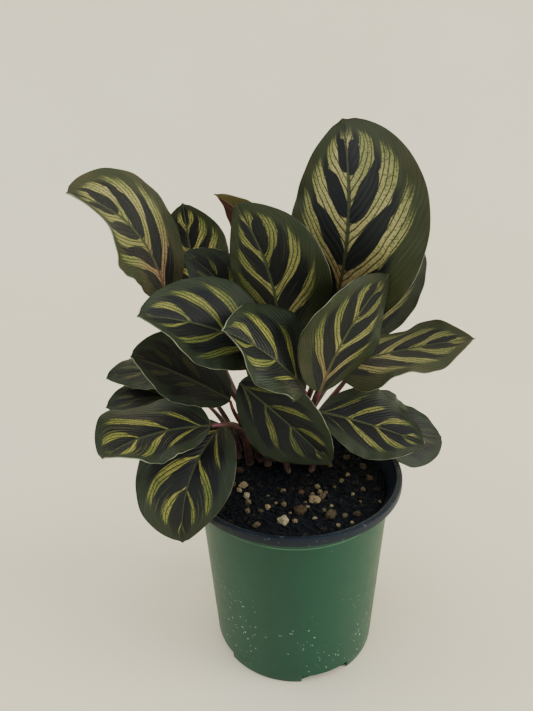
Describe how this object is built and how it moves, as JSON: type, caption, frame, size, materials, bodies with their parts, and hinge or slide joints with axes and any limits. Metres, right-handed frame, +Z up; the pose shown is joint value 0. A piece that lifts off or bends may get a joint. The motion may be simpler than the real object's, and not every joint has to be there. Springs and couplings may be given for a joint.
{
  "type": "potted calathea plant",
  "caption": "Small prayer plant with broad patterned leaves on thin stalks, growing in potting mix in a round tapered plastic nursery pot with drainage notches.",
  "frame": {"origin": "centre of the pot's flat underside, on the surface it stands on", "axes": "+Z up along the pot's axis, -Y towards the side the leaves face, +X to the right seen from that side"},
  "size_m": [0.1881, 0.17, 0.281],
  "materials": {
    "pot_plastic": "satin green plastic, dark inside and on the lip",
    "potting_mix": "rough, nearly black moist mix with pale mineral grains",
    "leaf_tissue": "satin leaf with dark blotches between yellow-green stripes, red-brown beneath",
    "stalk_skin": "satin maroon, straw-coloured sheaths at the foot"
  },
  "bodies": {
    "root": {"pot": "pot_plastic", "soil": "potting_mix", "blade_01": "leaf_tissue", "blade_02": "leaf_tissue", "blade_03": "leaf_tissue", "blade_04": "leaf_tissue", "blade_05": "leaf_tissue", "blade_06": "leaf_tissue", "blade_07": "leaf_tissue", "blade_08": "leaf_tissue", "blade_09": "leaf_tissue", "blade_10": "leaf_tissue", "blade_11": "leaf_tissue", "blade_12": "leaf_tissue", "blade_13": "leaf_tissue", "blade_14": "leaf_tissue", "blade_15": "leaf_tissue", "blade_16": "leaf_tissue", "blade_17": "leaf_tissue", "blade_18": "leaf_tissue", "blade_19": "leaf_tissue", "blade_20": "leaf_tissue", "blade_21": "leaf_tissue", "blade_22": "leaf_tissue", "stalk_01": "stalk_skin", "stalk_02": "stalk_skin", "stalk_03": "stalk_skin", "stalk_04": "stalk_skin", "stalk_05": "stalk_skin", "stalk_06": "stalk_skin", "stalk_07": "stalk_skin", "stalk_08": "stalk_skin", "stalk_09": "stalk_skin", "stalk_10": "stalk_skin", "stalk_11": "stalk_skin", "stalk_12": "stalk_skin", "stalk_13": "stalk_skin", "stalk_14": "stalk_skin", "stalk_15": "stalk_skin", "stalk_16": "stalk_skin", "stalk_17": "stalk_skin", "stalk_18": "stalk_skin", "stalk_19": "stalk_skin", "stalk_20": "stalk_skin", "stalk_21": "stalk_skin", "stalk_22": "stalk_skin", "stub_01": "stalk_skin", "stub_02": "stalk_skin"}
  },
  "joints": []
}
